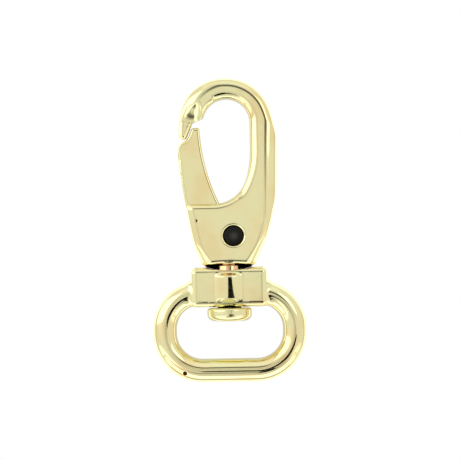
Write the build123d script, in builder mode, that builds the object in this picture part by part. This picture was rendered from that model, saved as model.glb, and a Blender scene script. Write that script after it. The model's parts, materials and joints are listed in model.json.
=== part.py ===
"""Swivel snap hook: cast hook body, sprung gate, pivot pin, swivel rivet and strap loop.

Millimetres. +Z points up, +X to the spine side, the front face looks along -Y.
The origin is the centre of the seat arc, on the swivel axis.
"""

import os

from build123d import *

# ---- hook body -------------------------------------------------------------
body_thickness = 6.0
seat_radius = 4.2
seat_end_angle = 168.3
crown_height = 8.0
spine_x = 9.08
cheek_top_z = -14.5
base_corner_z = -25.65
base_arch_z = -25.3
crown_rounding = 1.4
side_rounding = 2.5
side_centre = (0.4, 0.2)
side_radius = 8.95
side_lean = 1.5
side_foot_z = -30.0
eye_rounding = 0.95
eye_flare_rounding = 1.45
cheek_rounding = 1.3
base_rounding = 0.7
tongue_thickness = 3.6
tongue_rounding = 0.75
lip_centre = (-7.83, -2.1)
lip_radius = 0.83

# ---- gate and its pivot ----------------------------------------------------
pivot = (0.93, -20.26)
gate_thickness = 3.0
gate_rounding = 0.4
gate_tip_rounding = 0.45
slot_width = 3.3
slot_floor_z = -23.06
slot_back_x = 2.1
boss_radius = 2.4
boss_room = 0.4
pin_radius = 1.0
gate_bore_radius = 1.05
head_radius = 1.77
head_pocket_radius = 1.82
head_pocket_depth = 0.8
head_pocket_rim = 0.35
head_thickness = 0.45

# ---- gate spring -----------------------------------------------------------
spring_z = -16.7
spring_seat_x = -1.27
spring_pocket_radius = 1.1
spring_pocket_end_x = 6.1
spring_radius = 0.78
spring_wire_radius = 0.16
spring_turns = 9

# ---- thrust pad under the foot, and the dish in the collar that it turns in -
pad_radius = 4.2
pad_top_z = -25.1
pad_edge_z = -25.91
pad_face_radius = 2.5
pad_face_z = -26.28
pad_root_depth = 3.2
pad_face_depth = 1.6
pad_neck_root_radius = 3.0
pad_neck_radius = 2.35
pad_neck_z = -25.7
dish_radius = 4.6
dish_face_z = -26.38

# ---- swivel rivet ----------------------------------------------------------
spigot_radius = 1.4
spigot_flare = 0.35
shank_radius = 2.15
shank_seat_z = -25.15
rivet_head_radius = 4.0
rivet_head_top_z = -33.25
rivet_head_bottom_z = -35.6
rivet_head_crown = 1.2
rivet_head_shoulder = 0.5

# ---- loop ------------------------------------------------------------------
collar_top_z = -25.95
collar_bottom_z = -33.05
collar_half_width = 6.9
collar_half_thickness = 2.5
collar_rounding = 0.95
barrel_radius = 3.5
barrel_cone = 1.2
barrel_cone_start = 0.75
loop_bore_radius = 2.2
wire_radius = 2.16
wire_blend = 1.8
loop_half_width = 11.7
loop_bottom_z = -44.5
upper_corner_radius = 6.45
lower_corner_radius = 6.85
upper_corner_z = -36.95

half_body = body_thickness / 2


def rim_edges(solid, face_y, lines):
    """Edges in the plane y = face_y that pass closest to the middle of each outline piece."""
    flat = [
        edge
        for edge in solid.edges()
        if all(abs((edge @ step).Y - face_y) < 1e-4 for step in (0.0, 0.5, 1.0))
    ]
    chosen = []
    for line in lines:
        middle = line @ 0.5
        probe = Vertex(middle.X, face_y, middle.Y)
        nearest = min(flat, key=lambda edge: edge.distance_to(probe))
        if nearest not in chosen:
            chosen.append(nearest)
    return chosen


def both_rims(solid, half_thickness, lines):
    """The same rim edges on the front and on the back face."""
    front = rim_edges(solid, -half_thickness, lines)
    return front + rim_edges(solid, half_thickness, lines)


# ---- envelope that rounds the foot of the body -----------------------------
with BuildPart() as foot_envelope:
    with BuildSketch(Plane.XY.offset(-26.0)):
        RectangleRounded(9.3, 6.1, 2.84)
    with BuildSketch(Plane.XY.offset(-19.0)):
        RectangleRounded(15.8, 7.0, 2.4)
    loft()
    with BuildSketch(Plane.XY.offset(-19.0)):
        Rectangle(24.0, 14.0)
    extrude(amount=30.0)

# ---- envelope that gives the nose and the spine a broader rounding ---------
with BuildPart() as side_envelope:
    with BuildSketch(Plane.XZ):
        with BuildLine():
            side_arc = CenterArc(side_centre, side_radius, -side_lean, 180 + side_lean)
            side_left = Line(side_arc @ 1, (side_centre[0] - side_radius, side_foot_z))
            side_right = PolarLine(side_arc @ 0, side_centre[1] - side_foot_z, -90 - side_lean)
            side_bottom = Line(side_right @ 1, side_left @ 1)
        make_face()
    extrude(amount=half_body, both=True)
    fillet(both_rims(side_envelope.part, half_body, (side_arc, side_left, side_right)), side_rounding)

# ---- envelope that opens the eye more widely at the seat and the spine -----
with BuildPart() as eye_envelope:
    with BuildSketch(Plane.XZ):
        Rectangle(80.0, 120.0)
        with BuildLine():
            flare_arc = CenterArc((0, 0), seat_radius, 0, 120)
            flare_wall = Line(flare_arc @ 0, (seat_radius, -5.0))
            flare_flank = JernArc(flare_wall @ 1, flare_wall % 1, 14.0, -30)
            flare_turn = JernArc(flare_flank @ 1, flare_flank % 1, 1.0, -150)
            flare_close = Line(flare_turn @ 1, flare_arc @ 1)
        make_face(mode=Mode.SUBTRACT)
    extrude(amount=half_body, both=True)
    flare_lines = (flare_arc, flare_wall, flare_flank, flare_turn)
    fillet(both_rims(eye_envelope.part, half_body, flare_lines), eye_flare_rounding)

# ---- tongue under the nose that the gate tip closes against ----------------
with BuildPart() as tongue:
    with BuildSketch(Plane.XZ):
        with BuildLine():
            lip_end = CenterArc(lip_centre, lip_radius, 180, 158)
            lip_inner = Line(lip_end @ 1, (-6.2, -0.35))
            lip_root = Line(lip_inner @ 1, (-5.9, 1.3))
            lip_hidden = Line(lip_root @ 1, (-7.9, 1.3))
            lip_cover = Line(lip_hidden @ 1, (-8.535, 0.42))
            lip_side = TangentArc(lip_end @ 0, lip_cover @ 1, tangent=(0, 1))
        make_face()
    extrude(amount=tongue_thickness / 2, both=True)
    tongue_lines = (lip_end, lip_side, lip_inner)
    fillet(both_rims(tongue.part, tongue_thickness / 2, tongue_lines), tongue_rounding)

# ---- thrust pad: a shallow cone cut back at front and rear, with a short neck
with BuildPart() as thrust_pad:
    with BuildSketch(Plane.XZ):
        Polygon(
            (0.0, pad_top_z),
            (pad_radius, pad_top_z),
            (pad_radius, pad_edge_z),
            (pad_face_radius, pad_face_z),
            (0.0, pad_face_z),
            align=None,
        )
    revolve(axis=Axis.Z)
    with BuildSketch(Plane.YZ):
        Polygon(
            (-pad_root_depth / 2, pad_top_z),
            (pad_root_depth / 2, pad_top_z),
            (pad_face_depth / 2, pad_face_z),
            (-pad_face_depth / 2, pad_face_z),
            align=None,
        )
    extrude(amount=pad_radius, both=True, mode=Mode.INTERSECT)
    with BuildSketch(Plane.XY.offset(pad_top_z)):
        Circle(pad_neck_root_radius)
    with BuildSketch(Plane.XY.offset(pad_neck_z)):
        Circle(pad_neck_radius)
    loft()

# ---- hook body -------------------------------------------------------------
with BuildPart() as hook_body:
    with BuildSketch(Plane.XZ):
        with BuildLine():
            nose_side = TangentArc((-8.528, 0.45), (-8.3, 1.7), tangent=(0.134, 0.991))
            crown_left = TangentArc(nose_side @ 1, (-0.4, crown_height), tangent=nose_side % 1)
            crown_top = Line(crown_left @ 1, (0.0, crown_height))
            crown_right = TangentArc(crown_top @ 1, (7.705, 2.605), tangent=crown_top % 1)
            shoulder_right = TangentArc(crown_right @ 1, (spine_x, -5.2), tangent=crown_right % 1)
            spine_flat = Line(shoulder_right @ 1, (spine_x, -6.6))
            spine_waist = TangentArc(spine_flat @ 1, (8.24, -15.8), tangent=spine_flat % 1)
            spine_foot = TangentArc(spine_waist @ 1, (4.6, base_corner_z), tangent=spine_waist % 1)
            base_arch = ThreePointArc(spine_foot @ 1, (0.0, base_arch_z), (-4.65, base_corner_z))
            cheek_side = Line((-7.68, cheek_top_z), (-6.73, -19.5))
            cheek_foot = TangentArc(cheek_side @ 1, base_arch @ 1, tangent=cheek_side % 1)
            cheek_top = Line(cheek_side @ 0, (-2.4, cheek_top_z))
            eye_floor = TangentArc(cheek_top @ 1, (3.36, -10.25), tangent=cheek_top % 1)
            eye_flank = TangentArc(eye_floor @ 1, (seat_radius, -4.5), tangent=eye_floor % 1)
            eye_wall = Line(eye_flank @ 1, (seat_radius, 0.0))
            seat = CenterArc((0, 0), seat_radius, 0, seat_end_angle)
            nose_shoulder = Line(seat @ 1, (-6.1, 0.0))
            nose_end = Line(nose_shoulder @ 1, nose_side @ 0)
        make_face()
    extrude(amount=half_body, both=True)

    spine_lines = (nose_side, crown_left, crown_top, crown_right, shoulder_right)
    spine_lines += (spine_flat, spine_waist, spine_foot)
    fillet(both_rims(hook_body.part, half_body, spine_lines), crown_rounding)
    cheek_lines = (cheek_side, cheek_foot)
    fillet(both_rims(hook_body.part, half_body, cheek_lines), cheek_rounding)
    eye_lines = (cheek_top, eye_floor, eye_flank, eye_wall, seat)
    fillet(both_rims(hook_body.part, half_body, eye_lines), eye_rounding)

    add(side_envelope.part, mode=Mode.INTERSECT)
    add(eye_envelope.part, mode=Mode.INTERSECT)
    add(tongue.part)
    add(foot_envelope.part, mode=Mode.INTERSECT)
    foot_rim = hook_body.edges().filter_by(lambda edge: (edge @ 0.5).Z < -25.2)
    foot_rim = foot_rim.filter_by(lambda edge: (edge @ 0.0).Z < -25.2 and (edge @ 1.0).Z < -25.2)
    fillet(foot_rim, base_rounding)
    add(thrust_pad.part)

    # Slot between the cheeks, with room for the gate boss.
    with BuildSketch(Plane.XZ):
        with BuildLine():
            slot_back = Line((slot_back_x, -10.0), (slot_back_x, -17.6))
            slot_turn = Line(slot_back @ 1, (pivot[0], pivot[1]))
            slot_drop = Line(slot_turn @ 1, (pivot[0], slot_floor_z))
            slot_floor = Line(slot_drop @ 1, (-12.0, slot_floor_z))
            slot_open = Line(slot_floor @ 1, (-12.0, -10.0))
            slot_top = Line(slot_open @ 1, slot_back @ 0)
        make_face()
        with Locations(pivot):
            Circle(boss_radius + boss_room)
    extrude(amount=slot_width / 2, both=True, mode=Mode.SUBTRACT)

    # Pivot bore with a pocket for each pin head.
    with BuildSketch(Plane.XZ):
        with Locations(pivot):
            Circle(pin_radius)
    extrude(amount=half_body, both=True, mode=Mode.SUBTRACT)
    with BuildSketch(Plane.XZ.offset(half_body), Plane.XZ.offset(-half_body + head_pocket_depth)):
        with Locations(pivot):
            Circle(head_pocket_radius)
    extrude(amount=-head_pocket_depth, mode=Mode.SUBTRACT)
    pocket_rims = hook_body.edges().filter_by(GeomType.CIRCLE)
    pocket_rims = pocket_rims.filter_by(lambda edge: abs(edge.radius - head_pocket_radius) < 1e-6)
    pocket_rims = pocket_rims.filter_by(lambda edge: abs(abs((edge @ 0).Y) - half_body) < 1e-4)
    fillet(pocket_rims, head_pocket_rim)

    # Blind pocket for the gate spring.
    with BuildSketch(Plane.YZ.offset(spring_pocket_end_x)):
        with Locations((0.0, spring_z)):
            Circle(spring_pocket_radius)
    extrude(amount=slot_back_x - 0.5 - spring_pocket_end_x, mode=Mode.SUBTRACT)

    # Rivet seat under the foot, and the flared hole for its spigot.
    with BuildSketch(Plane.XY.offset(shank_seat_z)):
        Circle(shank_radius)
    extrude(amount=-2.0, mode=Mode.SUBTRACT)
    with BuildSketch(Plane.XY.offset(shank_seat_z)):
        Circle(spigot_radius)
    extrude(amount=slot_floor_z - shank_seat_z, mode=Mode.SUBTRACT)
    with BuildSketch(Plane.XY.offset(slot_floor_z)):
        Circle(spigot_radius + spigot_flare)
    with BuildSketch(Plane.XY.offset(slot_floor_z - spigot_flare)):
        Circle(spigot_radius)
    loft(mode=Mode.SUBTRACT)

# ---- gate ------------------------------------------------------------------
with BuildPart() as gate:
    with BuildSketch(Plane.XZ) as gate_profile:
        with BuildLine():
            gate_inner = ThreePointArc((-4.84, -0.78), (-3.93, -7.48), (-1.5, -14.45))
            gate_step = Line(gate_inner @ 1, (spring_seat_x, -15.0))
            gate_seat = Line(gate_step @ 1, (spring_seat_x, -19.0))
            gate_heart = Line(gate_seat @ 1, pivot)
            gate_hip = Line(gate_heart @ 1, (-0.2, -22.37))
            gate_belly = Line(gate_hip @ 1, (-5.6, -19.5))
            gate_heel = TangentArc(gate_belly @ 1, (-7.05, -17.8), tangent=gate_belly % 1)
            gate_outer = ThreePointArc(gate_heel @ 1, (-8.22, -11.0), (-8.93, -4.9))
            gate_horn = TangentArc(gate_outer @ 1, (-8.2, -3.55), tangent=gate_outer % 1)
            gate_ledge = Line(gate_horn @ 1, (-7.7, -3.28))
            gate_notch = TangentArc(gate_ledge @ 1, (-6.76, -2.3), tangent=gate_ledge % 1)
            gate_tip_side = Line(gate_notch @ 1, (-6.2, -0.85))
            gate_tip = Line(gate_tip_side @ 1, gate_inner @ 0)
        make_face()
        tip_corners = gate_profile.vertices().filter_by(lambda corner: corner.Y > -1.0)
        fillet(tip_corners, gate_tip_rounding)
        with Locations(pivot):
            Circle(boss_radius)
    extrude(amount=gate_thickness / 2, both=True)
    gate_lines = (gate_inner, gate_outer, gate_horn, gate_ledge, gate_notch, gate_tip_side, gate_tip)
    fillet(both_rims(gate.part, gate_thickness / 2, gate_lines), gate_rounding)
    with BuildSketch(Plane.XZ):
        with Locations(pivot):
            Circle(gate_bore_radius)
    extrude(amount=half_body, both=True, mode=Mode.SUBTRACT)

# ---- gate pin --------------------------------------------------------------
with BuildPart() as gate_pin:
    with BuildSketch(Plane.XZ):
        with Locations(pivot):
            Circle(pin_radius)
    extrude(amount=half_body - head_pocket_depth, both=True)
    with BuildSketch(
        Plane.XZ.offset(half_body - head_pocket_depth),
        Plane.XZ.offset(head_pocket_depth - head_thickness - half_body),
    ):
        with Locations(pivot):
            Circle(head_radius)
    extrude(amount=head_thickness)
    head_y = half_body - head_pocket_depth + head_thickness
    head_rims = gate_pin.edges().filter_by(lambda edge: abs(abs((edge @ 0.0).Y) - head_y) < 1e-4)
    fillet(head_rims, 0.15)

# ---- gate spring -----------------------------------------------------------
spring_start_x = spring_seat_x + spring_wire_radius + 0.02
spring_end_x = spring_pocket_end_x - spring_wire_radius - 0.02
spring_length = spring_end_x - spring_start_x
with BuildPart() as gate_spring:
    with BuildLine(Plane.YZ.offset(spring_start_x)):
        coil = Helix(
            pitch=spring_length / spring_turns,
            height=spring_length,
            radius=spring_radius,
            center=(0.0, spring_z, 0.0),
            direction=(1.0, 0.0, 0.0),
        )
    with BuildSketch(Plane(origin=coil @ 0, z_dir=coil % 0)):
        Circle(spring_wire_radius)
    sweep()

# ---- swivel rivet ----------------------------------------------------------
with BuildPart() as swivel_rivet:
    with BuildSketch(Plane.XY.offset(rivet_head_bottom_z)):
        Circle(rivet_head_radius)
    extrude(amount=rivet_head_top_z - rivet_head_bottom_z)
    bottom_rim = swivel_rivet.edges().filter_by(lambda edge: abs((edge @ 0).Z - rivet_head_bottom_z) < 1e-4)
    fillet(bottom_rim, rivet_head_crown)
    top_rim = swivel_rivet.edges().filter_by(lambda edge: abs((edge @ 0).Z - rivet_head_top_z) < 1e-4)
    fillet(top_rim, rivet_head_shoulder)
    with BuildSketch(Plane.XY.offset(rivet_head_top_z)):
        Circle(shank_radius)
    extrude(amount=shank_seat_z - rivet_head_top_z)
    with BuildSketch(Plane.XY.offset(shank_seat_z)):
        Circle(spigot_radius)
    extrude(amount=slot_floor_z - shank_seat_z)
    with BuildSketch(Plane.XY.offset(slot_floor_z)):
        Circle(spigot_radius + spigot_flare)
    with BuildSketch(Plane.XY.offset(slot_floor_z - spigot_flare)):
        Circle(spigot_radius)
    loft()

# ---- loop ------------------------------------------------------------------
upper_corner_x = loop_half_width - upper_corner_radius
lower_corner_x = loop_half_width - lower_corner_radius
lower_corner_z = loop_bottom_z + lower_corner_radius
loop_top_z = upper_corner_z + upper_corner_radius
with BuildPart() as loop:
    # Collar block with rounded edges.
    with BuildSketch(Plane.XY.offset(collar_bottom_z)):
        Rectangle(2 * collar_half_width, 2 * collar_half_thickness)
    extrude(amount=collar_top_z - collar_bottom_z)
    fillet(loop.edges(), collar_rounding)

    # Round wire bent into the loop, both ends running into the collar.
    with BuildLine(Plane.XZ) as loop_path:
        top_run = Line((upper_corner_x, loop_top_z), (-upper_corner_x, loop_top_z))
        left_upper = JernArc(top_run @ 1, top_run % 1, upper_corner_radius, 90)
        left_run = Line(left_upper @ 1, (-loop_half_width, lower_corner_z))
        left_lower = JernArc(left_run @ 1, left_run % 1, lower_corner_radius, 90)
        bottom_run = Line(left_lower @ 1, (lower_corner_x, loop_bottom_z))
        right_lower = JernArc(bottom_run @ 1, bottom_run % 1, lower_corner_radius, 90)
        right_run = Line(right_lower @ 1, (loop_half_width, upper_corner_z))
        right_upper = JernArc(right_run @ 1, right_run % 1, upper_corner_radius, 90)
    with BuildSketch(Plane(origin=(0, 0, loop_top_z), z_dir=(-1, 0, 0))):
        Circle(wire_radius)
    sweep(path=loop_path.wires()[0])
    wire_roots = loop.edges().filter_by(lambda edge: abs((edge @ 0.5).Y) < 1e-3)
    wire_roots = wire_roots.filter_by(lambda edge: abs(abs((edge @ 0.5).X) - collar_half_width) < 1e-3)
    fillet(wire_roots, wire_blend)

    # Turned barrel with coned ends, and the bore for the rivet.
    with BuildSketch(Plane.XZ):
        with BuildLine():
            Polyline(
                (0.0, collar_top_z - barrel_cone_start),
                (barrel_radius - barrel_cone, collar_top_z - barrel_cone_start),
                (barrel_radius, collar_top_z - barrel_cone_start - barrel_cone),
                (barrel_radius, collar_bottom_z + barrel_cone_start + barrel_cone),
                (barrel_radius - barrel_cone, collar_bottom_z + barrel_cone_start),
                (0.0, collar_bottom_z + barrel_cone_start),
                close=True,
            )
        make_face()
    revolve(axis=Axis.Z)
    with BuildSketch(Plane.XY.offset(collar_bottom_z - 1.0)):
        Circle(loop_bore_radius)
    extrude(amount=collar_top_z - collar_bottom_z + 2.0, mode=Mode.SUBTRACT)

    # Shallow dish in the collar's top for the thrust pad.
    with BuildSketch(Plane.XY.offset(collar_top_z)):
        Circle(dish_radius)
    with BuildSketch(Plane.XY.offset(dish_face_z)):
        Circle(pad_face_radius)
    loft(mode=Mode.SUBTRACT)

# ---- labels and files ------------------------------------------------------
hook_body.part.label = "hook_body"
gate.part.label = "gate"
gate_pin.part.label = "gate_pin"
gate_spring.part.label = "gate_spring"
swivel_rivet.part.label = "swivel_rivet"
loop.part.label = "loop"

os.makedirs("parts", exist_ok=True)
export_step(hook_body.part, "parts/hook_body.step")
export_step(gate.part, "parts/gate.step")
export_step(gate_pin.part, "parts/gate_pin.step")
export_step(gate_spring.part, "parts/gate_spring.step")
export_step(swivel_rivet.part, "parts/swivel_rivet.step")
export_step(loop.part, "parts/loop.step")
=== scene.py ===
"""Visual model of a small swivel snap hook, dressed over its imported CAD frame.

The castings are zinc, plated a pale gold and polished; the gate pin is black oxide steel and the
spring is drawn wire. The script works in metres, in the frame's axes: +Z along the swivel, front
face along -Y.
"""

import json
import logging
import math
from dataclasses import dataclass
from enum import Enum

import bmesh
import bpy
import numpy as np
from mathutils import Matrix, Vector, noise

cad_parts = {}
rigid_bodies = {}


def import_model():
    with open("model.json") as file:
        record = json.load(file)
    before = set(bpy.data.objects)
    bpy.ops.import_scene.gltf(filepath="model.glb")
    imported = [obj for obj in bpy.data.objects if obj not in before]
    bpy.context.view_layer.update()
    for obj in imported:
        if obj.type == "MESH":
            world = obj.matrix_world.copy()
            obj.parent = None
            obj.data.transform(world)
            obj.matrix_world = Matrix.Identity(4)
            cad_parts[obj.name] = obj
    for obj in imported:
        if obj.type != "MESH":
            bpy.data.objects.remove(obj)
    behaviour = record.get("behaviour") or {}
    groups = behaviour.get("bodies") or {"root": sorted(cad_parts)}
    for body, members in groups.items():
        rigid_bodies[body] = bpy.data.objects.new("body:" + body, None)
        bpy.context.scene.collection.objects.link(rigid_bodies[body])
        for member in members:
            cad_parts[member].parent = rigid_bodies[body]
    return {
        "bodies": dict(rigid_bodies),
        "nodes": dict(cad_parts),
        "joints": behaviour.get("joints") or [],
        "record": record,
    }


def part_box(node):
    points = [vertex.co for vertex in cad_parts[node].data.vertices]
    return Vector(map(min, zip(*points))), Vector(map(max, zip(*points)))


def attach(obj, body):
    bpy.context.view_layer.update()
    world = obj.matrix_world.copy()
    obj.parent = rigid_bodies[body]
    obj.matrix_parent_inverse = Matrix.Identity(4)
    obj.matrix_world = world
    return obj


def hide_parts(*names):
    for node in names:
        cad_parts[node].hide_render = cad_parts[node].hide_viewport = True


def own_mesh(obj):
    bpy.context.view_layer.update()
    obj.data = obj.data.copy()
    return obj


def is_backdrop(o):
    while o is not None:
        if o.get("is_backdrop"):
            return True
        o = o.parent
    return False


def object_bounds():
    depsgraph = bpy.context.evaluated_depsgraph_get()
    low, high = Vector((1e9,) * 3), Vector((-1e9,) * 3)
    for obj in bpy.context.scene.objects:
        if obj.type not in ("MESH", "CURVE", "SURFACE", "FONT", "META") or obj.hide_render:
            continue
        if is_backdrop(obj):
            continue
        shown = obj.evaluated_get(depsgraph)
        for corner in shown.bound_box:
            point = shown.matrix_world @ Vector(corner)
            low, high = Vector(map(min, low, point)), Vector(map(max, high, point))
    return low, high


MM = 0.001
WARM_REFLECTION = 0.3  # the attribute's level at which gaps take a painted warm reflection, as gold shows in gold
LOG = logging.getLogger("snap_hook")
Number = float | np.ndarray


def linear(hex_colour: str) -> tuple[float, float, float, float]:
    """Turns an sRGB hex colour into a linear colour.

    Args:
        hex_colour: Six hex digits, with or without a leading hash.

    Returns:
        Linear red, green and blue, and an alpha of 1.
    """
    digits = hex_colour.lstrip("#")
    channels = [int(digits[i : i + 2], 16) / 255 for i in (0, 2, 4)]
    values = [c / 12.92 if c <= 0.04045 else ((c + 0.055) / 1.055) ** 2.4 for c in channels]
    return (*values, 1.0)


def add_node(
    tree: bpy.types.NodeTree,
    kind: str,
    settings: dict | None = None,
    inputs: dict | None = None,
) -> bpy.types.Node:
    """Adds one shader node, with its settings and its links.

    Args:
        tree: The node tree that gets the node.
        kind: Blender's type name for the node.
        settings: Properties of the node, by name.
        inputs: Values or output sockets for its inputs, by name or index.

    Returns:
        The new node.
    """
    node = tree.nodes.new(kind)
    for name, value in (settings or {}).items():
        setattr(node, name, value)
    for name, value in (inputs or {}).items():
        if isinstance(value, bpy.types.NodeSocket):
            tree.links.new(value, node.inputs[name])
        else:
            node.inputs[name].default_value = value
    return node


def mix(low: float, high: float, share: float) -> float:
    """Value at a share of the way from low to high."""
    return low + (high - low) * share


def evenly(low: float, high: float, count: int) -> list[float]:
    """Values at even steps from low to high, both included."""
    return [mix(low, high, step / count) for step in range(count + 1)]


def ease(distance: Number, fade: float) -> Number:
    """Rises smoothly from 0 at an edge to 1 at a distance of one fade past it."""
    share = np.clip(distance / fade, 0.0, 1.0)
    return share * share * (3 - 2 * share)


def within(value: Number, span: tuple[float, float], fade: float) -> Number:
    """How far inside a span a value lies: 0 outside it, 1 beyond its soft edges."""
    return ease(np.minimum(value - span[0], span[1] - value), fade)


class Body(Enum):
    """The rigid bodies of the frame that pieces ride on."""

    HOOK = "hook"
    GATE = "gate"
    LOOP = "loop"


class Slot(Enum):
    """The material slots of the frame."""

    GOLD = "gold_plate"
    BLACK = "black_oxide_steel"
    SPRING = "spring_steel"


# ---- finishes ----------------------------------------------------------------


def new_material(name: str) -> bpy.types.Material:
    """Adds a material with a plain Principled shader.

    Args:
        name: The material's name.

    Returns:
        The material.
    """
    made = bpy.data.materials.new(name)
    made.use_nodes = True
    return made


def attribute(tree: bpy.types.NodeTree, name: str) -> bpy.types.NodeSocket:
    """Reads the number that the mesh holds under a name."""
    return add_node(tree, "ShaderNodeAttribute", {"attribute_name": name}).outputs["Fac"]


def lumps(tree: bpy.types.NodeTree, size_mm: float, detail: float) -> bpy.types.NodeSocket:
    """Adds a noise whose lumps have a real size.

    Args:
        tree: The material's tree.
        size_mm: Size of the lumps in millimetres.
        detail: Octaves of finer noise.

    Returns:
        The noise's value socket.
    """
    place = add_node(tree, "ShaderNodeTexCoord").outputs["Object"]
    inputs = {"Vector": place, "Scale": 1 / (size_mm * MM), "Detail": detail}
    return add_node(tree, "ShaderNodeTexNoise", inputs=inputs).outputs[0]


def blend(
    tree: bpy.types.NodeTree,
    share: bpy.types.NodeSocket,
    first: bpy.types.NodeSocket | tuple[float, ...],
    second: tuple[float, ...],
) -> bpy.types.NodeSocket:
    """Adds a mix of two colours.

    Args:
        tree: The material's tree.
        share: How much of the second colour shows, from 0 to 1.
        first: The first colour, or the socket that gives it.
        second: The second colour.

    Returns:
        The socket of the mixed colour.
    """
    inputs = {0: share, 6: first, 7: second}
    return add_node(tree, "ShaderNodeMix", {"data_type": "RGBA"}, inputs).outputs[2]


@dataclass(frozen=True)
class GoldPlate:
    """Pale gold flash plating on a tumbled and buffed zinc casting.

    Buffing leaves a mirror with a faint long ripple, which bends reflections without blurring
    them, and the plating bath leaves slightly greener and slightly redder patches. An attribute
    on the mesh paints light into gaps and pits: at its lower level a painted warm reflection of
    gold in gold, at 1 a painted dark brown shade.
    """

    colour: str = "E5DAA6"
    green_patch: str = "E2DDA9"
    warm_patch: str = "E4D29B"
    # The painted warm reflection of gold in gold, and the painted shade in gaps and pits.
    reflected_gold: str = "E6BD8E"
    recess_shade: str = "2B1C0C"
    patch_mm: float = 7.0
    patch_band: tuple[float, float] = (0.36, 0.64)
    roughness: tuple[float, float] = (0.055, 0.11)
    haze_band: tuple[float, float] = (0.3, 0.7)
    haze_mm: float = 1.3
    ripple_mm: float = 2.4
    ripple_depth_mm: float = 0.0025
    peel_mm: float = 0.35
    peel_depth_mm: float = 0.00012

    def material(self) -> bpy.types.Material:
        """Builds the plating.

        Returns:
            The material.
        """
        made = new_material("pale_gold_plate")
        tree = made.node_tree
        shader = tree.nodes["Principled BSDF"]
        tree.links.new(self.tint(tree), shader.inputs["Base Color"])
        tree.links.new(self.gloss(tree), shader.inputs["Roughness"])
        tree.links.new(self.relief(tree), shader.inputs["Normal"])
        shader.inputs["Metallic"].default_value = 1.0
        return made

    def tint(self, tree: bpy.types.NodeTree) -> bpy.types.NodeSocket:
        """Builds the colour: the bath's patches, and the painted reflection and shade in gaps and pits.

        Args:
            tree: The material's tree.

        Returns:
            The colour's socket.
        """
        patches = lumps(tree, self.patch_mm, 1.5)
        bath = add_node(tree, "ShaderNodeValToRGB", inputs={"Fac": patches})
        ramp = bath.color_ramp
        for end, place, colour in zip(ramp.elements, self.patch_band, (self.green_patch, self.warm_patch)):
            end.position = place
            end.color = linear(colour)
        ramp.elements.new(0.5).color = linear(self.colour)
        # Painted light in the gaps: a painted warm reflection, as gold shows in gold, and deeper in a
        # painted dark brown shade.
        painted_reflection_and_shade = attribute(tree, "painted_reflection_and_shade")
        ramp_share = add_node(tree, "ShaderNodeMapRange", inputs={"Value": painted_reflection_and_shade, "From Max": WARM_REFLECTION})
        shade_share = add_node(tree, "ShaderNodeMapRange", inputs={"Value": painted_reflection_and_shade, "From Min": WARM_REFLECTION})
        reflected = blend(tree, ramp_share.outputs[0], bath.outputs[0], linear(self.reflected_gold))
        return blend(tree, shade_share.outputs[0], reflected, linear(self.recess_shade))

    def gloss(self, tree: bpy.types.NodeTree) -> bpy.types.NodeSocket:
        """Builds the roughness, a little higher where the buffing left a haze.

        Args:
            tree: The material's tree.

        Returns:
            The roughness's socket.
        """
        spans = {
            "From Min": self.haze_band[0],
            "From Max": self.haze_band[1],
            "To Min": self.roughness[0],
            "To Max": self.roughness[1],
        }
        haze = lumps(tree, self.haze_mm, 3.0)
        return add_node(tree, "ShaderNodeMapRange", inputs={"Value": haze, **spans}).outputs[0]

    def relief(self, tree: bpy.types.NodeTree) -> bpy.types.NodeSocket:
        """Builds the fine peel of the plating and the longer ripple of the buffing.

        Args:
            tree: The material's tree.

        Returns:
            The normal's socket.
        """
        height = lumps(tree, self.peel_mm, 1.0)
        peel = {"Height": height, "Distance": self.peel_depth_mm * MM}
        normal = add_node(tree, "ShaderNodeBump", inputs=peel).outputs[0]
        height = lumps(tree, self.ripple_mm, 1.0)
        ripple = {"Height": height, "Distance": self.ripple_depth_mm * MM, "Normal": normal}
        return add_node(tree, "ShaderNodeBump", inputs=ripple).outputs[0]


@dataclass(frozen=True)
class BlackOxide:
    """Black oxide on a steel pin: a thin, slightly oily black skin, mottled where it was peened."""

    colour: str = "0A0907"
    mottled: str = "1C1B17"
    # The painted grey sheen in the middle of each head.
    centre_sheen: str = "4A4942"
    mottle_mm: float = 0.5
    dent_mm: float = 0.02
    metallic: float = 0.7
    roughness: float = 0.42

    def material(self) -> bpy.types.Material:
        """Builds the black skin, with a painted grey sheen in the middle of each head.

        Returns:
            The material.
        """
        made = new_material("black_oxide_steel")
        tree = made.node_tree
        shader = tree.nodes["Principled BSDF"]
        mottle = lumps(tree, self.mottle_mm, 2.0)
        skin = blend(tree, mottle, linear(self.colour), linear(self.mottled))
        # Painted sheen: lighter grey in the middle of each head.
        colour = blend(tree, attribute(tree, "painted_sheen"), skin, linear(self.centre_sheen))
        dents = add_node(tree, "ShaderNodeBump", inputs={"Height": mottle, "Distance": self.dent_mm * MM})
        tree.links.new(colour, shader.inputs["Base Color"])
        tree.links.new(dents.outputs[0], shader.inputs["Normal"])
        shader.inputs["Metallic"].default_value = self.metallic
        shader.inputs["Roughness"].default_value = self.roughness
        return made


@dataclass(frozen=True)
class DrawnWire:
    """Bright drawn spring wire, finely mottled."""

    colour: str = "B9BABC"
    mottled: str = "8E9094"
    mottle_mm: float = 0.08
    roughness: float = 0.28

    def material(self) -> bpy.types.Material:
        """Builds the wire's finish.

        Returns:
            The material.
        """
        made = new_material("drawn_spring_wire")
        tree = made.node_tree
        shader = tree.nodes["Principled BSDF"]
        mottle = lumps(tree, self.mottle_mm, 1.0)
        tint = blend(tree, mottle, linear(self.colour), linear(self.mottled))
        tree.links.new(tint, shader.inputs["Base Color"])
        shader.inputs["Metallic"].default_value = 1.0
        shader.inputs["Roughness"].default_value = self.roughness
        return made


# ---- ways of making pieces ---------------------------------------------------


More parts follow.
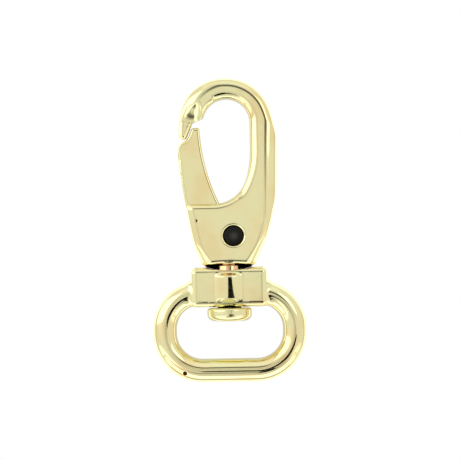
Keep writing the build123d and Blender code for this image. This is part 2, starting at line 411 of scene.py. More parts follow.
def add_object(name: str, data: bpy.types.ID) -> bpy.types.Object:
    """Adds an object to the scene.

    Args:
        name: The object's name.
        data: What it holds: a mesh, a lamp or a camera.

    Returns:
        The object.
    """
    made = bpy.data.objects.new(name, data)
    bpy.context.scene.collection.objects.link(made)
    return made


def from_form(form: bmesh.types.BMesh, name: str) -> bpy.types.Object:
    """Adds an edited form to the scene as an object, and frees the form.

    Args:
        form: The form.
        name: The object's name.

    Returns:
        The object.
    """
    mesh = bpy.data.meshes.new(name)
    form.to_mesh(mesh)
    form.free()
    return add_object(name, mesh)


def dress(
    piece: bpy.types.Object,
    finish: bpy.types.Material,
    body: Body,
    node: str,
) -> bpy.types.Object:
    """Gives a new piece its finish and its body, and hides the CAD node that it stands for.

    Args:
        piece: The new piece.
        finish: Its material.
        body: The body that it rides on.
        node: The CAD node that it replaces.

    Returns:
        The piece.
    """
    piece.data.materials.clear()
    piece.data.materials.append(finish)
    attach(piece, body.value)
    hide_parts(node)
    LOG.info("%s: %d faces", piece.name, len(piece.data.polygons))
    return piece


def spots_of(piece: bpy.types.Object) -> np.ndarray:
    """Reads where a piece's vertices are.

    Args:
        piece: The piece.

    Returns:
        Their positions in millimetres, one row each.
    """
    flat = np.empty(len(piece.data.vertices) * 3)
    piece.data.vertices.foreach_get("co", flat)
    return flat.reshape(-1, 3) / MM


def move_to(piece: bpy.types.Object, spots: np.ndarray) -> None:
    """Puts a piece's vertices at new positions, given in millimetres."""
    piece.data.vertices.foreach_set("co", (spots * MM).ravel())
    piece.data.update()


def paint(piece: bpy.types.Object, name: str, values: np.ndarray) -> None:
    """Stores one number for each vertex, for the material to read."""
    piece.data.attributes.new(name, "FLOAT", "POINT").data.foreach_set("value", values)


def relax(
    piece: bpy.types.Object,
    weights: np.ndarray,
    axes: tuple[int, ...],
    passes: int,
    step: float = 0.5,
) -> None:
    """Evens out the positions of neighbouring vertices along some axes.

    Args:
        piece: The piece.
        weights: How strongly each vertex takes part, from 0 to 1.
        axes: The axes along which vertices move: 0, 1, 2 for X, Y, Z.
        passes: How often neighbours are averaged.
        step: How far towards its neighbours' average a vertex goes in one pass.
    """
    spots = spots_of(piece)
    ends = np.empty(len(piece.data.edges) * 2, dtype=np.int64)
    piece.data.edges.foreach_get("vertices", ends)
    ends = ends.reshape(-1, 2)
    ends = ends[(weights[ends] > 0).any(axis=1)]
    count = len(spots)
    degree = np.maximum(np.bincount(ends.ravel(), minlength=count), 1)
    for axis in axes:
        along = spots[:, axis].copy()
        for _ in range(passes):
            total = np.bincount(ends[:, 0], along[ends[:, 1]], count)
            total += np.bincount(ends[:, 1], along[ends[:, 0]], count)
            along += (total / degree - along) * weights * step
        spots[:, axis] = along
    move_to(piece, spots)


@dataclass(frozen=True)
class PolishedCopy:
    """A CAD solid's surface rebuilt as an even skin, its edges rolled over by buffing."""

    node: str
    name: str
    skin_mm: float = 0.11
    weld_mm: float = 0.0005
    buffing: float = 0.5
    passes: int = 8

    def build(self, frame: dict) -> bpy.types.Object:
        """Makes the even skin.


        Returns:
            The new piece, without finish or body.
        """
        mesh = frame["nodes"][self.node].data.copy()
        welded = bmesh.new()
        welded.from_mesh(mesh)
        bmesh.ops.remove_doubles(welded, verts=welded.verts, dist=self.weld_mm * MM)
        welded.to_mesh(mesh)
        welded.free()
        piece = add_object(self.name, mesh)
        skin = piece.modifiers.new("skin", "REMESH")
        skin.mode = "VOXEL"
        skin.voxel_size = self.skin_mm * MM
        skin.use_smooth_shade = True
        buff = piece.modifiers.new("buff", "SMOOTH")
        buff.factor = self.buffing
        buff.iterations = self.passes
        depsgraph = bpy.context.evaluated_depsgraph_get()
        even = bpy.data.meshes.new_from_object(piece.evaluated_get(depsgraph))
        piece.modifiers.clear()
        piece.data = even
        return piece


@dataclass(frozen=True)
class Turned:
    """A lathe-turned form: a profile of (radius, height, corner rounding) in mm, spun round Z."""

    name: str
    profile: tuple[tuple[float, float, float], ...]
    segments: int = 128
    arc_steps: int = 8
    on_axis_mm: float = 1e-6

    def outline(self) -> list[tuple[float, float]]:
        """Works out the profile with its corners rounded.

        Returns:
            Radius and height of each ring, in millimetres.
        """
        points = []
        last = len(self.profile) - 1
        for index, (radius, height, rounding) in enumerate(self.profile):
            corner = Vector((radius, height))
            if rounding == 0 or index in (0, last):
                points.append((corner.x, corner.y))
                continue
            before = (Vector(self.profile[index - 1][:2]) - corner).normalized()
            after = (Vector(self.profile[index + 1][:2]) - corner).normalized()
            half = before.angle(after) / 2
            start = corner + before * rounding / math.tan(half)
            stop = corner + after * rounding / math.tan(half)
            centre = corner + (before + after).normalized() * rounding / math.sin(half)
            for step in range(self.arc_steps + 1):
                share = step / self.arc_steps
                chord = start.lerp(stop, share) - centre
                points.append(tuple(centre + chord.normalized() * rounding))
        return points

    def build(self, place: Matrix) -> bpy.types.Object:
        """Spins the profile.

        Args:
            place: Turns the lathe's axis (Z) into its place on the hook, in metres.

        Returns:
            The new piece.
        """
        form = bmesh.new()
        rings = []
        for radius, height in self.outline():
            if radius < self.on_axis_mm:
                rings.append([form.verts.new((0, 0, height * MM))])
                continue
            ring = []
            for step in range(self.segments):
                angle = 2 * math.pi * step / self.segments
                spot = (radius * math.cos(angle) * MM, radius * math.sin(angle) * MM, height * MM)
                ring.append(form.verts.new(spot))
            rings.append(ring)
        for low, high in zip(rings, rings[1:]):
            for step in range(self.segments):
                following = (step + 1) % self.segments
                corners = [
                    low[step % len(low)],
                    low[following % len(low)],
                    high[following % len(high)],
                    high[step % len(high)],
                ]
                form.faces.new(list(dict.fromkeys(corners)))
        bmesh.ops.transform(form, matrix=place, verts=form.verts)
        bmesh.ops.recalc_face_normals(form, faces=form.faces)
        for face in form.faces:
            face.smooth = True
        return from_form(form, self.name)


@dataclass(frozen=True)
class Pit:
    """A small round pit in the front skin of a casting."""

    x_mm: float
    z_mm: float
    radius_mm: float
    depth_mm: float
    skin_y_mm: float = 0.0

    def press(self, piece: bpy.types.Object) -> np.ndarray:
        """Presses the pit into a casting, in front of the plane at skin_y_mm.

        Args:
            piece: The casting.

        Returns:
            The share of the full depth by which each vertex went in.
        """
        spots = spots_of(piece)
        x, y, z = spots.T
        off = np.hypot(x - self.x_mm, z - self.z_mm) / self.radius_mm
        share = np.where(y < self.skin_y_mm, np.clip(1 - off**2, 0.0, 1.0), 0.0)
        spots[:, 1] += self.depth_mm * share
        move_to(piece, spots)
        return share


# ---- the hook's own pieces ---------------------------------------------------


@dataclass(frozen=True)
class HookCasting:
    """The C-shaped casting: its nose thins towards the tongue; one gas pinhole in a cheek.

    The nose is what lies left of nose_x_mm and above nose_low_mm. It keeps its full depth from
    nose_taper_mm above nose_end_mm, and thins below that.
    """

    pinhole: Pit = Pit(x_mm=-5.6, z_mm=-17.5, radius_mm=0.28, depth_mm=0.22, skin_y_mm=-2.0)
    nose_x_mm: float = -4.3
    nose_fade_mm: float = 1.2
    nose_end_mm: float = 0.1
    nose_taper_mm: float = 4.2
    nose_low_mm: float = -1.5
    nose_blend_mm: tuple[float, float] = (-0.9, 3.0)
    nose_blend_fade_mm: float = 0.8
    nose_passes: int = 24
    tongue_half_mm: float = 1.8
    foot_z_mm: float = -25.1
    foot_fade_mm: float = 0.2
    neck_radius_mm: float = 3.05
    # Half width of the neck's painted warm reflection, and its soft edge.
    neck_reflection_mm: float = 2.4
    neck_fade_mm: float = 0.9
    wing_half_mm: tuple[float, float] = (4.6, 2.25)
    wing_fade: float = 0.12

    def build(self, frame: dict, gold: bpy.types.Material) -> bpy.types.Object:
        """Builds the casting.

        Args:
            gold: The plating.

        Returns:
            The piece.
        """
        piece = PolishedCopy("hook_body", "polished_hook").build(frame)
        self.thin_nose(piece)
        hole = self.pinhole.press(piece)
        # Painted shade in the gap under the foot and in the pinhole; painted warm reflection on the neck.
        paint(piece, "painted_reflection_and_shade", np.maximum(self.gap(piece), np.minimum(2 * hole, 1.0)))
        return dress(piece, gold, Body.HOOK, "hook_body")

    def thin_nose(self, piece: bpy.types.Object) -> None:
        """Draws the nose in from both faces to the tongue's width, and evens out the step.

        Args:
            piece: The casting.
        """
        spots = spots_of(piece)
        x, y, z = spots.T
        nose = ease(self.nose_x_mm - x, self.nose_fade_mm)
        ramp_share = (1 - ease(z - self.nose_end_mm, self.nose_taper_mm)) * (z > self.nose_low_mm)
        proud = np.maximum(np.abs(y) - self.tongue_half_mm, 0.0)
        spots[:, 1] -= np.sign(y) * proud * ramp_share * nose
        move_to(piece, spots)
        evened = nose * within(z, self.nose_blend_mm, self.nose_blend_fade_mm)
        relax(piece, evened, (1, 2), self.nose_passes)

    def gap(self, piece: bpy.types.Object) -> np.ndarray:
        """Works out the painted shade in the gap under the foot, and the painted warm reflection on the
        neck.

        Args:
            piece: The casting.

        Returns:
            0 outside the gap, the warm reflection's level in the middle by the rivet's neck and 1, full
            painted shade, at the sides.
        """
        x, y, z = spots_of(piece).T
        off = np.hypot(x / self.wing_half_mm[0], y / self.wing_half_mm[1])
        wings = ease(1 - off, self.wing_fade)
        bare = within(x, (-self.neck_reflection_mm, self.neck_reflection_mm), self.neck_fade_mm)
        neck = 1 - (1 - WARM_REFLECTION) * bare
        shade = np.where(np.hypot(x, y) < self.neck_radius_mm, neck, wings)
        return shade * ease(self.foot_z_mm - z, self.foot_fade_mm)


@dataclass(frozen=True)
class LoopCasting:
    """The collar and strap loop in one casting, with a drafted barrel and a pit low on the left.

    The collar's faces are first evened out along themselves. In the worked region they are then
    laid anew: flat at face_mm, rolled over at the edges, with the barrel proud of them.
    """

    pit: Pit = Pit(x_mm=-8.2, z_mm=-44.85, radius_mm=0.46, depth_mm=0.2)
    face_mm: float = 2.5
    edge_mm: float = 0.95
    face_span_mm: tuple[float, float] = (-32.1, -26.9)
    barrel_x_mm: float = -0.1
    barrel_half_width_mm: float = 2.5
    barrel_proud_mm: float = 0.95
    barrel_draft_mm: float = 0.55
    barrel_span_mm: tuple[float, float] = (-32.3, -26.75)
    barrel_fade_mm: float = 0.9
    barrel_passes: int = 16
    evened_half_mm: float = 4.2
    evened_from_mm: float = 2.2
    evened_span_mm: tuple[float, float] = (-32.9, -26.1)
    evened_fade_mm: tuple[float, float, float] = (0.5, 0.2, 0.3)
    worked_half_mm: float = 3.7
    worked_span_mm: tuple[float, float] = (-33.0, -26.0)
    worked_slack_mm: float = 0.03
    dish_radius_mm: float = 4.7
    dish_half_depth_mm: float = 2.3
    dish_z_mm: float = -26.5
    dish_fade_mm: tuple[float, float, float] = (0.3, 0.2, 0.1)

    def build(self, frame: dict, gold: bpy.types.Material) -> bpy.types.Object:
        """Builds the casting.

        Args:
            gold: The plating.

        Returns:
            The piece.
        """
        piece = PolishedCopy("loop", "polished_loop").build(frame)
        self.draw_barrel(piece)
        pit = self.pit.press(piece)
        # Painted shade in the collar's dished top and in the pit.
        paint(piece, "painted_reflection_and_shade", np.maximum(self.dish(piece), np.minimum(3 * pit, 1.0)))
        return dress(piece, gold, Body.LOOP, "loop")

    def draw_barrel(self, piece: bpy.types.Object) -> None:
        """Evens out the collar's faces and draws the barrel on them, prouder at the top.

        Args:
            piece: The casting.
        """
        x, y, z = spots_of(piece).T
        evened = within(x, (-self.evened_half_mm, self.evened_half_mm), self.evened_fade_mm[0])
        evened *= ease(np.abs(y) - self.evened_from_mm, self.evened_fade_mm[1])
        evened *= within(z, self.evened_span_mm, self.evened_fade_mm[2])
        relax(piece, evened, (0, 2), self.barrel_passes)
        spots = spots_of(piece)
        x, y, z = spots.T
        past = np.maximum(z - self.face_span_mm[1], self.face_span_mm[0] - z)
        past = np.clip(past, 0.0, self.edge_mm)
        face = self.face_mm - self.edge_mm + np.sqrt(self.edge_mm**2 - past**2)
        low, high = self.barrel_span_mm
        across = np.clip((x - self.barrel_x_mm) / self.barrel_half_width_mm, -1.0, 1.0)
        depth = self.barrel_proud_mm - self.barrel_draft_mm * (high - z) / (high - low)
        proud = depth * np.cos(across * math.pi / 2)
        proud *= within(z, self.barrel_span_mm, self.barrel_fade_mm)
        worked = (np.abs(x) < self.worked_half_mm) & (np.abs(y) > face - self.worked_slack_mm)
        worked &= (z > self.worked_span_mm[0]) & (z < self.worked_span_mm[1])
        spots[:, 1] = np.where(worked, np.sign(y) * (face + proud), y)
        move_to(piece, spots)

    def dish(self, piece: bpy.types.Object) -> np.ndarray:
        """Works out where the dished top of the collar gets painted shade.

        Args:
            piece: The casting.

        Returns:
            0 outside the dish and 1, full painted shade, in it.
        """
        x, y, z = spots_of(piece).T
        inside = ease(self.dish_radius_mm - np.hypot(x, y), self.dish_fade_mm[0])
        inside *= ease(self.dish_half_depth_mm - np.abs(y), self.dish_fade_mm[1])
        return inside * ease(z - self.dish_z_mm, self.dish_fade_mm[2])


@dataclass(frozen=True)
class SwivelRivet:
    """The turned rivet: flared spigot, shank through the collar and a button head."""

    spigot_radius_mm: float = 1.4
    flare_mm: float = 0.35
    shank_radius_mm: float = 2.15
    seat_z_mm: float = -25.15
    seat_rounding_mm: float = 0.05
    # Above this height the shank gets a painted warm reflection.
    reflection_z_mm: float = -27.0
    reflection_fade_mm: float = 0.2
    head_top_z_mm: float = -33.25
    head_rounding_mm: float = 1.2
    shoulder_mm: float = 0.5

    def build(self, gold: bpy.types.Material) -> bpy.types.Object:
        """Turns the rivet.

        Args:
            gold: The plating.

        Returns:
            The piece.
        """
        low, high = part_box("swivel_rivet")
        head_radius = high[0] / MM
        bottom, top = low[2] / MM, high[2] / MM
        profile = (
            (0.0, bottom, 0.0),
            (head_radius, bottom, self.head_rounding_mm),
            (head_radius, self.head_top_z_mm, self.shoulder_mm),
            (self.shank_radius_mm, self.head_top_z_mm, 0.0),
            (self.shank_radius_mm, self.seat_z_mm, self.seat_rounding_mm),
            (self.spigot_radius_mm, self.seat_z_mm, 0.0),
            (self.spigot_radius_mm, top - self.flare_mm, 0.0),
            (self.spigot_radius_mm + self.flare_mm, top, 0.0),
            (0.0, top, 0.0),
        )
        piece = Turned("turned_rivet", profile).build(Matrix.Identity(4))
        z = spots_of(piece)[:, 2]
        # Painted warm reflection on the shank where it shows in the gap, as gold shows in gold.
        paint(piece, "painted_reflection_and_shade", WARM_REFLECTION * ease(z - self.reflection_z_mm, self.reflection_fade_mm))
        return dress(piece, gold, Body.HOOK, "swivel_rivet")


@dataclass(frozen=True)
class GatePin:
    """The pivot pin, peened at both ends: a low rim round a shallow hollow, a little uneven."""

    shaft_radius_mm: float = 1.0
    head_mm: float = 0.45
    rim_radius_mm: float = 1.1
    rim_rounding_mm: float = 0.6
    edge_mm: float = 0.12
    edge_rounding_mm: float = 0.18
    inset_mm: float = 0.01
    hollow_mm: float = 0.14
    uneven_mm: float = 0.16
    uneven_from_mm: float = 1.2
    lumps_per_mm: float = 1.1
    lump_bias: float = 0.35
    # Strength and size of the painted grey sheen in the middle of each head.
    painted_sheen: float = 0.8
    sheen_mm: float = 0.75
    sheen_fade_mm: float = 0.5

    def build(self, black: bpy.types.Material) -> bpy.types.Object:
        """Builds the pin.

        Args:
            black: The black skin.

        Returns:
            The piece.
        """
        low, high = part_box("gate_pin")
        edge_radius = (high[0] - low[0]) / 2 / MM - self.inset_mm
        end = high[1] / MM
        half = (
            (0.0, end - self.hollow_mm, 0.0),
            (self.rim_radius_mm, end - self.inset_mm, self.rim_rounding_mm),
            (edge_radius, end - self.edge_mm, self.edge_rounding_mm),
            (edge_radius, end - self.head_mm, 0.0),
            (self.shaft_radius_mm, end - self.head_mm, 0.0),
        )
        mirrored = tuple((radius, -height, rounding) for radius, height, rounding in reversed(half))
        centre = Vector(((low[0] + high[0]) / 2, 0, (low[2] + high[2]) / 2))
        place = Matrix.Translation(centre) @ Matrix.Rotation(math.pi / 2, 4, "X")
        piece = Turned("peened_pin", half + mirrored, arc_steps=6).build(place)
        for vertex in piece.data.vertices:
            away = vertex.co - centre
            radius = math.hypot(away.x, away.z)
            if radius > self.uneven_from_mm * MM:
                lump = noise.noise(away * (self.lumps_per_mm / MM)) - self.lump_bias
                dent = min(lump, 0.0) * self.uneven_mm * MM
                vertex.co.x += away.x / radius * dent
                vertex.co.z += away.z / radius * dent
        off = spots_of(piece) - np.array(centre) / MM
        middle = ease(self.sheen_mm - np.hypot(off[:, 0], off[:, 2]), self.sheen_fade_mm)
        # Painted sheen in the middle of each head.
        paint(piece, "painted_sheen", self.painted_sheen * middle)
        return dress(piece, black, Body.HOOK, "gate_pin")


@dataclass(frozen=True)
class GateSpring:
    """The coil behind the gate, built at rest; the real gate squeezes it along its length."""

    wire_radius_mm: float = 0.16
    end_room: float = 1.1
    turns: int = 9
    sides: int = 12
    steps_a_turn: int = 40
    keep: float = 0.55

    def build(self, steel: bpy.types.Material) -> bpy.types.Object:
        """Coils the wire.

        Args:
            steel: The wire's finish.

        Returns:
            The piece.
        """
        low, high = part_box("gate_spring")
        wire = self.wire_radius_mm * MM
        radius = (high[2] - low[2]) / 2 - wire
        height = (high[2] + low[2]) / 2
        start = low[0] + wire * self.end_room
        length = high[0] - low[0] - 2 * wire * self.end_room
        form = bmesh.new()
        rings = []
        count = self.turns * self.steps_a_turn
        for step in range(count + 1):
            share = step / count
            angle = 2 * math.pi * self.turns * share
            outward = Vector((0, math.cos(angle), math.sin(angle)))
            spot = Vector((start + length * share, 0, height)) + outward * radius
            ring = []
            for side in range(self.sides):
                turn = 2 * math.pi * side / self.sides
                lift = outward * math.cos(turn) + Vector((1, 0, 0)) * math.sin(turn)
                ring.append(form.verts.new(spot + lift * wire))
            rings.append(ring)
        for near, far in zip(rings, rings[1:]):
            for side in range(self.sides):
                following = (side + 1) % self.sides
                form.faces.new((near[side], near[following], far[following], far[side]))
        form.faces.new(rings[0])
        form.faces.new(list(reversed(rings[-1])))
        bmesh.ops.recalc_face_normals(form, faces=form.faces)
        for face in form.faces:
            face.smooth = len(face.verts) == 4
        piece = from_form(form, "coil_spring")
        dress(piece, steel, Body.HOOK, "gate_spring")
        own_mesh(piece)
        return piece


# ---- studio ------------------------------------------------------------------


def hang_card(
    name: str,
    spots: list[Vector],
    faces: list[tuple[int, ...]],
    levels: list[float],
) -> None:
    """Hangs a paper card that only polished metal shows.

    Args:
        name: The card's name.
        spots: Its vertices, in metres.
        faces: Its faces, by vertex number.
        levels: How bright it is at each vertex, where the plain tent is 1.
    """
    mesh = bpy.data.meshes.new(name)
    mesh.from_pydata(spots, [], faces)
    mesh.attributes.new("level", "FLOAT", "POINT").data.foreach_set("value", levels)
    card = add_object(name, mesh)
    paper = new_material(name)
    tree = paper.node_tree
    tree.nodes.clear()
    inputs = {"Color": (1.0, 1.0, 1.0, 1.0), "Strength": attribute(tree, "level")}
    glow = add_node(tree, "ShaderNodeEmission", inputs=inputs)
    add_node(tree, "ShaderNodeOutputMaterial", inputs={"Surface": glow.outputs[0]})
    mesh.materials.append(paper)
    paper.cycles.emission_sampling = "NONE"
    card.visible_camera = False
    card.visible_diffuse = False
    card.visible_shadow = False
    card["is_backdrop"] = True


def hang_cloth(name: str, rows: list[list[tuple[Vector, float]]]) -> None:
    """Hangs a card made of rows of points, so that its brightness can change across it.

    Args:
        name: The card's name.
        rows: Place in metres and brightness of its points, row by row.
    """
    width = len(rows[0])
    faces = []
    for row in range(len(rows) - 1):
        for column in range(width - 1):
            corner = row * width + column
            faces.append((corner, corner + 1, corner + width + 1, corner + width))
    points = [point for row in rows for point in row]
    hang_card(name, [spot for spot, _ in points], faces, [level for _, level in points])


def towards(azimuth: float, elevation: float, distance: float) -> Vector:
    """Finds a spot by its direction from the hook, where 0, 0 is straight in front.

    Args:
        azimuth: Degrees to the right.
        elevation: Degrees upwards.
        distance: How far off it is, in metres.

    Returns:
        The spot, in metres.
    """
    turn, rise = math.radians(azimuth), math.radians(elevation)
    away = Vector((math.sin(turn) * math.cos(rise), -math.cos(turn) * math.cos(rise), math.sin(rise)))
    return away * distance


@dataclass(frozen=True)
class HardCard:
    """A card with a sharp outline, whose corners are azimuth and elevation in degrees."""

    name: str
    outline: tuple[tuple[float, float], ...]
    level: float
    distance: float = 1.5
    lift_mm: float = 0.0

    def build(self) -> None:
        """Hangs the card, as a fan of triangles round its middle."""
        count = len(self.outline)
        middle = tuple(sum(values) / count for values in zip(*self.outline))
        lift = Vector((0, 0, self.lift_mm * MM))
        spots = [towards(*corner, self.distance) + lift for corner in (*self.outline, middle)]
        faces = [(index, (index + 1) % count, count) for index in range(count)]
        hang_card(self.name, spots, faces, [self.level] * len(spots))


@dataclass(frozen=True)
class DarkArch:
    """A soft dark arch hung close in front of the crown, which draws the line along its edge."""

    radius_mm: tuple[float, float] = (14.0, 62.0)
    turn: tuple[float, float] = (-38.0, 150.0)
    steps: tuple[int, int] = (60, 40)
    level: float = 0.16
    fade_mm: float = 7.0
    fade_turn: float = 46.0
    distance: float = 0.15

    def point(self, turn: float, radius: float) -> tuple[Vector, float]:
        """Finds a point of the arch.

        Args:
            turn: Degrees anticlockwise from the right.
            radius: Distance from the seat arc's centre in millimetres.

        Returns:
            Its place in metres and its brightness.
        """
        angle = math.radians(turn)
        spot = Vector((math.cos(angle) * radius * MM, -self.distance, math.sin(angle) * radius * MM))
        share = within(turn, self.turn, self.fade_turn) * within(radius, self.radius_mm, self.fade_mm)
        return spot, mix(1, self.level, share)

    def build(self) -> None:
        """Hangs the arch."""
        turns = evenly(*self.turn, self.steps[0])
        radii = evenly(*self.radius_mm, self.steps[1])
        hang_cloth("dark_arch", [[self.point(turn, radius) for radius in radii] for turn in turns])


@dataclass(frozen=True)
class Shade:
    """A softly edged patch of another brightness on the tent, over azimuth and elevation."""

    across: tuple[float, float]
    upward: tuple[float, float]
    level: float
    fade: tuple[float, float]

    def factor(self, azimuth: float, elevation: float) -> float:
        """Works out how much brighter or darker the tent is at a spot.

        Args:
            azimuth: Degrees to the right of straight ahead.
            elevation: Degrees upwards.

        Returns:
            The factor, which is 1 outside the patch.
        """
        share = within(azimuth, self.across, self.fade[0])
        share *= within(elevation, self.upward, self.fade[1])
        return mix(1, self.level, share)


@dataclass(frozen=True)
class Arc(Shade):
    """A patch bent round straight ahead: across is the turn from the right, upward the radius."""

    def factor(self, azimuth: float, elevation: float) -> float:
        """Works out how much brighter or darker the tent is at a spot.

        Args:
            azimuth: Degrees to the right of straight ahead.
            elevation: Degrees upwards.

        Returns:
            The factor, which is 1 outside the patch.
        """
        turn = math.degrees(math.atan2(elevation, azimuth)) % 360
        if turn > self.across[1]:
            turn -= 360
        return super().factor(turn, math.hypot(azimuth, elevation))


@dataclass(frozen=True)
class Tent:
    """The white tent round the hook, with its darker and brighter parts; only metal shows it."""

    shades: tuple[Shade, ...]
    distance: float = 2.2
    coarse_distance: float = 2.42
    front_reach: float = 44.0

    def level(self, azimuth: float, elevation: float) -> float:
        """Brightness of the tent in a direction."""
        return math.prod(shade.factor(azimuth, elevation) for shade in self.shades)

    def build(self) -> None:
        """Hangs the tent: a fine round patch in front, and coarser cloth all round, further off."""
        turns = [math.radians(turn) for turn in evenly(0, 360, 90)]
        radii = evenly(0, self.front_reach, 88)
        fine = [[(radius * math.cos(turn), radius * math.sin(turn)) for turn in turns] for radius in radii]
        self.hang("tent_front", fine, self.distance)
        azimuths = evenly(-180, 180, 120)
        coarse = [[(azimuth, elevation) for azimuth in azimuths] for elevation in evenly(-90, 90, 60)]
        self.hang("tent_round", coarse, self.coarse_distance)

    def hang(self, name: str, rows: list[list[tuple[float, float]]], distance: float) -> None:
        """Hangs one cloth.

        Args:
            name: The cloth's name.
            rows: Azimuth and elevation of its points, row by row.
            distance: How far off it hangs, in metres.
        """
        hang_cloth(name, [[(towards(*spot, distance), self.level(*spot)) for spot in row] for row in rows])


@dataclass(frozen=True)
class Sheet:
    """The sheet close behind the hook: bright round it, with a painted shadow of the hook on it."""

    behind_mm: float = 7.0
    half_width_mm: float = 45.0
    low_mm: float = -80.0
    high_mm: float = 42.0
    edge_mm: float = 10.0
    loop_z_mm: float = -37.5
    loop_half_mm: tuple[float, float] = (10.0, 5.5)
    spine_span_mm: tuple[float, float] = (-24.0, 0.0)
    spine_half_mm: float = 6.5
    shaded: float = 0.8
    bright: float = 1.6
    fade_mm: float = 3.5

    def level(self, x: float, z: float) -> float:
        """Works out the sheet's brightness at a spot.

        Args:
            x: Millimetres to the right of the swivel's axis.
            z: Millimetres above the seat arc's centre.

        Returns:
            The brightness, where the plain tent is 1.
        """
        off_loop = max(abs(x) - self.loop_half_mm[0], abs(z - self.loop_z_mm) - self.loop_half_mm[1])
        nearest = min(max(z, self.spine_span_mm[0]), self.spine_span_mm[1])
        off_spine = math.hypot(x, z - nearest) - self.spine_half_mm
        open_share = min(max(min(off_loop, off_spine) / self.fade_mm, 0.0), 1.0)
        hung = within(x, (-self.half_width_mm, self.half_width_mm), self.edge_mm)
        hung *= within(z, (self.low_mm, self.high_mm), self.edge_mm)
        return mix(1, mix(self.shaded, self.bright, open_share), hung)

    def build(self) -> None:
        """Hangs the sheet, with a point every millimetre."""
        xs = range(-int(self.half_width_mm), int(self.half_width_mm) + 1)
        zs = range(int(self.low_mm), int(self.high_mm) + 1)
        rows = [[(Vector((x, self.behind_mm, z)) * MM, self.level(x, z)) for x in xs] for z in zs]
        hang_cloth("sheet_behind", rows)


@dataclass(frozen=True)
class Tray:
    """A bright strip below and in front of the hook, which the undersides reflect."""

    height_mm: float = -110.0
    near_mm: float = -2.0
    far_mm: float = -52.0
    near_fade_mm: float = 14.0
    half_width_mm: float = 130.0
    side_fade_mm: float = 40.0
    flare: float = 0.5
    level: float = 1.9
    floor_level: float = 0.85
    steps: int = 40

    def point(self, x: float, y: float) -> tuple[Vector, float]:
        """Finds a point of the strip.

        Args:
            x: Millimetres to the right.
            y: Millimetres backwards.

        Returns:
            Its place in metres and its brightness.
        """
        share = within(y, (self.far_mm - self.flare * abs(x), self.near_mm), self.near_fade_mm)
        share *= within(x, (-self.half_width_mm, self.half_width_mm), self.side_fade_mm)
        return Vector((x, y, self.height_mm)) * MM, mix(self.floor_level, self.level, share)

    def build(self) -> None:
        """Hangs the strip, whose bright part reaches further forward at its two ends."""
        xs = evenly(-self.half_width_mm, self.half_width_mm, self.steps)
        ys = evenly(self.near_mm, self.far_mm - self.flare * self.half_width_mm, self.steps)
        hang_cloth("tray", [[self.point(x, y) for x in xs] for y in ys])


def hang_lamp(
    name: str,
    place: Vector,
    away: Vector,
    width: float,
    height: float,
    radiance: float,
) -> None:
    """Hangs an area lamp.

    Args:
        name: The lamp's name.
        place: Its centre, in metres.
        away: Direction from the hook to the lamp.
        width: Its width in metres.
        height: Its height in metres.
        radiance: How bright its face is, where the plain tent is 1.
    """
    data = bpy.data.lights.new(name, "AREA")
    data.shape = "RECTANGLE"
    data.size = width
    data.size_y = height
    data.energy = radiance * math.pi * width * height
    lamp = add_object(name, data)
    lamp.location = place
    lamp.rotation_mode = "QUATERNION"
    lamp.rotation_quaternion = away.to_track_quat("Z", "Y")
    lamp.visible_camera = False


@dataclass(frozen=True)
class NearLamp:
    """A soft lamp close to the upper half of the hook, so that the loop stays out of its glare."""

    name: str
    azimuth: float
    width: float
    low_mm: float
    high_mm: float
    radiance: float
    distance: float = 0.17

    def build(self) -> None:
        """Hangs the lamp."""
        height = (self.high_mm - self.low_mm) * MM
        away = towards(self.azimuth, 0.0, self.distance)
        lift = Vector((0, 0, (self.high_mm + self.low_mm) / 2 * MM))
        hang_lamp(self.name, away + lift, away, self.width, height, self.radiance)


@dataclass(frozen=True)
class FarLamp:
    """A large soft lamp well away from the hook, pointed at it."""

    name: str
    azimuth: float
    elevation: float
    width: float
    height: float
    radiance: float
    distance: float = 0.8

    def build(self) -> None:
        """Hangs the lamp."""
        away = towards(self.azimuth, self.elevation, self.distance)
        hang_lamp(self.name, away, away, self.width, self.height, self.radiance)


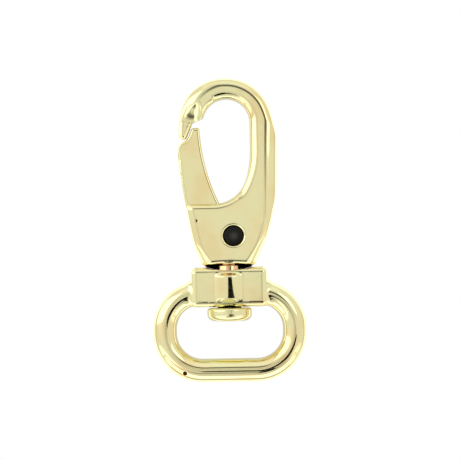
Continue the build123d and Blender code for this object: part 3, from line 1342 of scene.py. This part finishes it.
@dataclass(frozen=True)
class Studio:
    """Camera, floor, lamps, cards and surroundings."""

    aim_mm: tuple[float, float, float] = (0.34, 0.0, -19.26)
    azimuth: float = 0.0
    elevation: float = 0.5
    roll: float = 1.04
    lens_mm: float = 250.0
    sensor_mm: float = 36.0
    field_mm: float = 82.8
    floor_mm: float = -220.0
    floor_radius: float = 0.18
    plain_level: float = 0.6

    def camera(self) -> None:
        """Adds the camera, square on the front and leaning by the roll."""
        data = bpy.data.cameras.new("camera")
        data.lens = self.lens_mm
        data.sensor_width = self.sensor_mm
        distance = self.field_mm * MM * self.lens_mm / self.sensor_mm
        turn, lean = math.radians(self.azimuth), math.radians(self.roll)
        back = towards(self.azimuth, self.elevation, 1.0)
        level = Vector((math.cos(turn), math.sin(turn), 0.0))
        upright = back.cross(level)
        right = math.cos(lean) * level - math.sin(lean) * upright
        up = math.sin(lean) * level + math.cos(lean) * upright
        camera = add_object("camera", data)
        place = Matrix((right, up, back)).transposed().to_4x4()
        place.translation = Vector(self.aim_mm) * MM + back * distance
        camera.matrix_world = place
        data.clip_start = 0.01
        data.clip_end = 20.0
        bpy.context.scene.camera = camera

    def surroundings(self) -> None:
        """White tent seen by camera, mirror and glass rays; a plain level for the rest."""
        world = bpy.data.worlds.new("tent")
        bpy.context.scene.world = world
        world.use_nodes = True
        tree = world.node_tree
        tree.nodes.clear()
        rays = add_node(tree, "ShaderNodeLightPath").outputs
        seen = rays["Is Camera Ray"]
        for kind in ("Is Glossy Ray", "Is Transmission Ray"):
            inputs = {0: seen, 1: rays[kind]}
            seen = add_node(tree, "ShaderNodeMath", {"operation": "MAXIMUM"}, inputs).outputs[0]
        inputs = {"Value": seen, "To Min": self.plain_level, "To Max": 1.0}
        strength = add_node(tree, "ShaderNodeMapRange", inputs=inputs).outputs[0]
        inputs = {"Color": (1.0, 1.0, 1.0, 1.0), "Strength": strength}
        glow = add_node(tree, "ShaderNodeBackground", inputs=inputs)
        add_node(tree, "ShaderNodeOutputWorld", inputs={"Surface": glow.outputs[0]})

    def floor(self) -> None:
        """A round sheet of matt white paper, well below the loop."""
        form = bmesh.new()
        bmesh.ops.create_circle(form, cap_ends=True, segments=96, radius=self.floor_radius)
        floor = from_form(form, "floor")
        floor.location.z = self.floor_mm * MM
        finish = new_material("matt_white_paper")
        shader = finish.node_tree.nodes["Principled BSDF"]
        shader.inputs["Base Color"].default_value = linear("F7F6F3")
        shader.inputs["Roughness"].default_value = 0.9
        floor.data.materials.append(finish)
        floor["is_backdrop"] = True

    def build(self) -> None:
        """Sets up the studio but for the camera, which camera() adds."""
        self.surroundings()
        self.floor()
        # Each patch of the tent: its span across and upwards, its brightness and its soft edges.
        shades = (
            Arc((-361, 1), (2.2, 12), 0.8, (0.1, 3)),
            Arc((-8, 165), (4, 30), 0.8, (25, 5)),
            Shade((-14, 30), (-51, -12), 0.65, (9, 12)),
            Shade((-24, 24), (-41, -24), 0.22, (8, 5)),
            Shade((-85, -9), (-50, -15), 1.7, (9, 6)),
            Shade((28, 85), (-48, -15), 1.5, (10, 6)),
            Shade((-135, -85), (-30, 25), 0.75, (15, 12)),
            Shade((85, 135), (-30, 25), 0.75, (15, 12)),
            Shade((-78, -28), (-8, 25), 1.15, (12, 8)),
        )
        # The small cards' corners, as azimuth and elevation.
        side = ((3.6, 3.3), (13, 3.3), (13, -3.4), (3.6, -3.4))
        stand = ((-3, -18), (23, -18), (20, -30), (-3, -30))
        below = ((1.5, -14), (5, -14), (12, -24), (20, -44), (1.5, -44))
        for thing in (
            Tent(shades),
            Sheet(),
            Tray(),
            NearLamp("left_box", -57, 0.2, -20, 120, 0.95),
            NearLamp("right_box", 35, 0.06, -5, 80, 0.95),
            FarLamp("top_box", 0, 55, 0.9, 0.5, 0.15),
            HardCard("side_card", side, 0.65, 0.15, -36.0),
            HardCard("stand_card", stand, 0.01, 0.15),
            HardCard("below_card", below, 0.01),
            DarkArch(),
        ):
            thing.build()


def main() -> dict:
    """Builds the studio and every piece.

    Returns:
        The size of the bare frame and of the dressed hook, as plain lists.
    """
    logging.basicConfig(level=logging.INFO, format="%(message)s")
    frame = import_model()
    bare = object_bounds()
    studio = Studio()
    studio.camera()
    studio.build()
    gold = GoldPlate().material()
    HookCasting().build(frame, gold)
    dress(PolishedCopy("gate", "polished_gate", 0.09).build(frame), gold, Body.GATE, "gate")
    LoopCasting().build(frame, gold)
    SwivelRivet().build(gold)
    GatePin().build(BlackOxide().material())
    GateSpring().build(DrawnWire().material())
    bpy.context.scene.view_settings.view_transform = "Standard"
    sizes = {"frame": [list(v) for v in bare], "dressed": [list(v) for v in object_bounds()]}
    return sizes


if __name__ == "__main__":
    main()
